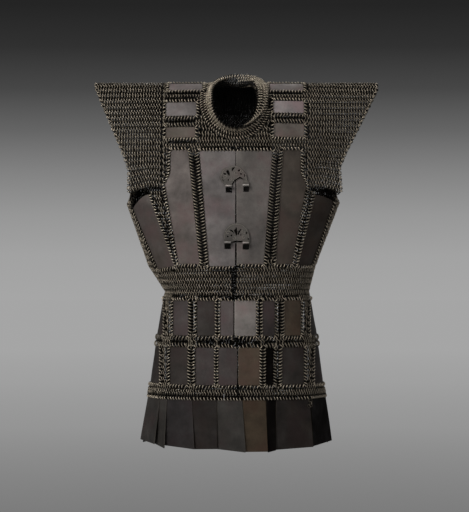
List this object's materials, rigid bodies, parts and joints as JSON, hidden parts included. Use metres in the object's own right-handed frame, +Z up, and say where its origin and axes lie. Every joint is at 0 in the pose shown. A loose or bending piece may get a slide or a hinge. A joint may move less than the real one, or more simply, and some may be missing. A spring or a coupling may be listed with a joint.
{
  "type": "mail and plate coat",
  "caption": "Sleeved coat of brass mail with plates let into the chest, shoulders and tiered skirt, a stand-up collar, pierced clasps and a hem of loose lames, hung on a bar.",
  "frame": {"origin": "middle of the bar that carries the coat, where its upper face meets the underside of the shoulder ridge", "axes": "+Z up, -Y out of the front, -X towards the left sleeve as seen from the front"},
  "size_m": [0.624, 0.266, 0.8339],
  "materials": {
    "mail": "dull, tarnished",
    "chest_plates": "dark grey-brown patina",
    "skirt_plates": "dark brown patina",
    "clasp": "worn greenish grey"
  },
  "bodies": {
    "body": {"left_breast_plate": "chest_plates", "right_breast_plate": "chest_plates", "left_side_plate": "chest_plates", "right_side_plate": "chest_plates", "left_back_plate": "chest_plates", "right_back_plate": "chest_plates", "tier_one_plate_1": "skirt_plates", "tier_one_plate_2": "skirt_plates", "tier_one_plate_5": "skirt_plates", "tier_one_plate_6": "skirt_plates", "tier_one_left_side_plate": "skirt_plates", "tier_one_right_side_plate": "skirt_plates", "tier_two_plate_1": "skirt_plates", "tier_two_plate_2": "skirt_plates", "tier_two_plate_5": "skirt_plates", "tier_two_plate_6": "skirt_plates", "tier_two_left_side_plate": "skirt_plates", "tier_two_right_side_plate": "skirt_plates", "left_shoulder_plate_1": "chest_plates", "left_shoulder_plate_2": "chest_plates", "left_shoulder_plate_3": "chest_plates", "right_shoulder_plate_1": "chest_plates", "right_shoulder_plate_2": "chest_plates", "right_shoulder_plate_3": "chest_plates", "left_shoulder_back_plate": "chest_plates", "right_shoulder_back_plate": "chest_plates", "torso_mail": "mail", "skirt_mail": "mail", "yoke_mail": "mail", "collar_mail": "mail", "left_sleeve_mail": "mail", "right_sleeve_mail": "mail"},
    "left_front": {"left_front_mail": "mail", "left_centre_plate": "chest_plates", "tier_one_plate_3": "skirt_plates", "tier_two_plate_3": "skirt_plates"},
    "right_front": {"right_front_mail": "mail", "right_centre_plate": "chest_plates", "tier_one_plate_4": "skirt_plates", "tier_two_plate_4": "skirt_plates"},
    "upper_clasp": {"upper_clasp": "clasp"},
    "lower_clasp": {"lower_clasp": "clasp"},
    "hem_lame_01": {"hem_lame_01": "skirt_plates"},
    "hem_lame_02": {"hem_lame_02": "skirt_plates"},
    "hem_lame_03": {"hem_lame_03": "skirt_plates"},
    "hem_lame_04": {"hem_lame_04": "skirt_plates"},
    "hem_lame_05": {"hem_lame_05": "skirt_plates"},
    "hem_lame_06": {"hem_lame_06": "skirt_plates"},
    "hem_lame_07": {"hem_lame_07": "skirt_plates"},
    "hem_lame_08": {"hem_lame_08": "skirt_plates"},
    "hem_lame_09": {"hem_lame_09": "skirt_plates"},
    "hem_lame_10": {"hem_lame_10": "skirt_plates"},
    "hem_lame_11": {"hem_lame_11": "skirt_plates"},
    "hem_lame_12": {"hem_lame_12": "skirt_plates"},
    "hem_lame_13": {"hem_lame_13": "skirt_plates"},
    "hem_lame_14": {"hem_lame_14": "skirt_plates"},
    "hem_lame_15": {"hem_lame_15": "skirt_plates"},
    "hem_lame_16": {"hem_lame_16": "skirt_plates"},
    "hem_lame_17": {"hem_lame_17": "skirt_plates"},
    "hem_lame_18": {"hem_lame_18": "skirt_plates"}
  },
  "joints": [
    {"name": "left_front_swing", "type": "hinge", "parent": "body", "child": "left_front", "pos_m": [-0.0665, -0.11891, -0.42], "axis": [0.0932, -0.0581, -0.994], "range_deg": [0, 60]},
    {"name": "right_front_swing", "type": "hinge", "parent": "body", "child": "right_front", "pos_m": [0.071, -0.12106, -0.42], "axis": [0.0623, 0.0634, 0.996], "range_deg": [0, 60]},
    {"name": "upper_clasp_lift", "type": "slide", "parent": "left_front", "child": "upper_clasp", "axis": [0, -0.9986, 0.0526], "range_m": [0, 0.012]},
    {"name": "lower_clasp_lift", "type": "slide", "parent": "left_front", "child": "lower_clasp", "axis": [0, -0.9987, 0.0502], "range_m": [0, 0.012]},
    {"name": "hem_lame_01_swing", "type": "hinge", "parent": "body", "child": "hem_lame_01", "pos_m": [-0.1838, -0.03795, -0.69231], "axis": [-0.3577, 0.9338, 0], "range_deg": [0, 50]},
    {"name": "hem_lame_02_swing", "type": "hinge", "parent": "body", "child": "hem_lame_02", "pos_m": [-0.15883, -0.0822, -0.69233], "axis": [-0.7458, 0.6662, 0], "range_deg": [0, 20]},
    {"name": "hem_lame_03_swing", "type": "hinge", "parent": "body", "child": "hem_lame_03", "pos_m": [-0.12137, -0.10445, -0.6924], "axis": [-0.8997, 0.4365, 0], "range_deg": [0, 50]},
    {"name": "hem_lame_04_swing", "type": "hinge", "parent": "body", "child": "hem_lame_04", "pos_m": [-0.0667, -0.12322, -0.6924], "axis": [-0.9951, 0.0988, 0], "range_deg": [0, 50]},
    {"name": "hem_lame_05_swing", "type": "hinge", "parent": "left_front", "child": "hem_lame_05", "pos_m": [-0.01367, -0.12951, -0.69243], "axis": [-0.9964, 0.0846, 0], "range_deg": [0, 40]},
    {"name": "hem_lame_06_swing", "type": "hinge", "parent": "right_front", "child": "hem_lame_06", "pos_m": [0.03981, -0.12815, -0.69243], "axis": [-0.9875, -0.1573, 0], "range_deg": [0, 50]},
    {"name": "hem_lame_07_swing", "type": "hinge", "parent": "body", "child": "hem_lame_07", "pos_m": [0.07658, -0.11579, -0.69243], "axis": [-0.8408, -0.5414, 0], "range_deg": [0, 20]},
    {"name": "hem_lame_08_swing", "type": "hinge", "parent": "body", "child": "hem_lame_08", "pos_m": [0.12521, -0.0982, -0.6924], "axis": [-0.9344, -0.3563, 0], "range_deg": [0, 50]},
    {"name": "hem_lame_09_swing", "type": "hinge", "parent": "body", "child": "hem_lame_09", "pos_m": [0.18275, -0.04303, -0.69235], "axis": [-0.4246, -0.9054, 0], "range_deg": [0, 50]},
    {"name": "hem_lame_10_swing", "type": "hinge", "parent": "body", "child": "hem_lame_10", "pos_m": [0.19274, 0.02565, -0.69238], "axis": [0.2749, -0.9615, 0], "range_deg": [0, 50]},
    {"name": "hem_lame_11_swing", "type": "hinge", "parent": "body", "child": "hem_lame_11", "pos_m": [0.16275, 0.07217, -0.69238], "axis": [0.7576, -0.6527, 0], "range_deg": [0, 50]},
    {"name": "hem_lame_12_swing", "type": "hinge", "parent": "body", "child": "hem_lame_12", "pos_m": [0.11398, 0.10095, -0.69238], "axis": [0.9358, -0.3525, 0], "range_deg": [0, 50]},
    {"name": "hem_lame_13_swing", "type": "hinge", "parent": "body", "child": "hem_lame_13", "pos_m": [0.05873, 0.11515, -0.69238], "axis": [0.9895, -0.1445, 0], "range_deg": [0, 50]},
    {"name": "hem_lame_14_swing", "type": "hinge", "parent": "body", "child": "hem_lame_14", "pos_m": [0.00176, 0.11933, -0.69238], "axis": [1, -0.0031, 0], "range_deg": [0, 50]},
    {"name": "hem_lame_15_swing", "type": "hinge", "parent": "body", "child": "hem_lame_15", "pos_m": [-0.05523, 0.11545, -0.69238], "axis": [0.9901, 0.1402, 0], "range_deg": [0, 50]},
    {"name": "hem_lame_16_swing", "type": "hinge", "parent": "body", "child": "hem_lame_16", "pos_m": [-0.1105, 0.10136, -0.69238], "axis": [0.9355, 0.3532, 0], "range_deg": [0, 50]},
    {"name": "hem_lame_17_swing", "type": "hinge", "parent": "body", "child": "hem_lame_17", "pos_m": [-0.15914, 0.0724, -0.69238], "axis": [0.7531, 0.6578, 0], "range_deg": [0, 50]},
    {"name": "hem_lame_18_swing", "type": "hinge", "parent": "body", "child": "hem_lame_18", "pos_m": [-0.18886, 0.02568, -0.69238], "axis": [0.2704, 0.9628, 0], "range_deg": [0, 50]}
  ],
  "couplings": [
    {"joint": "right_front_swing", "follows": "left_front_swing", "ratio": 1}
  ]
}
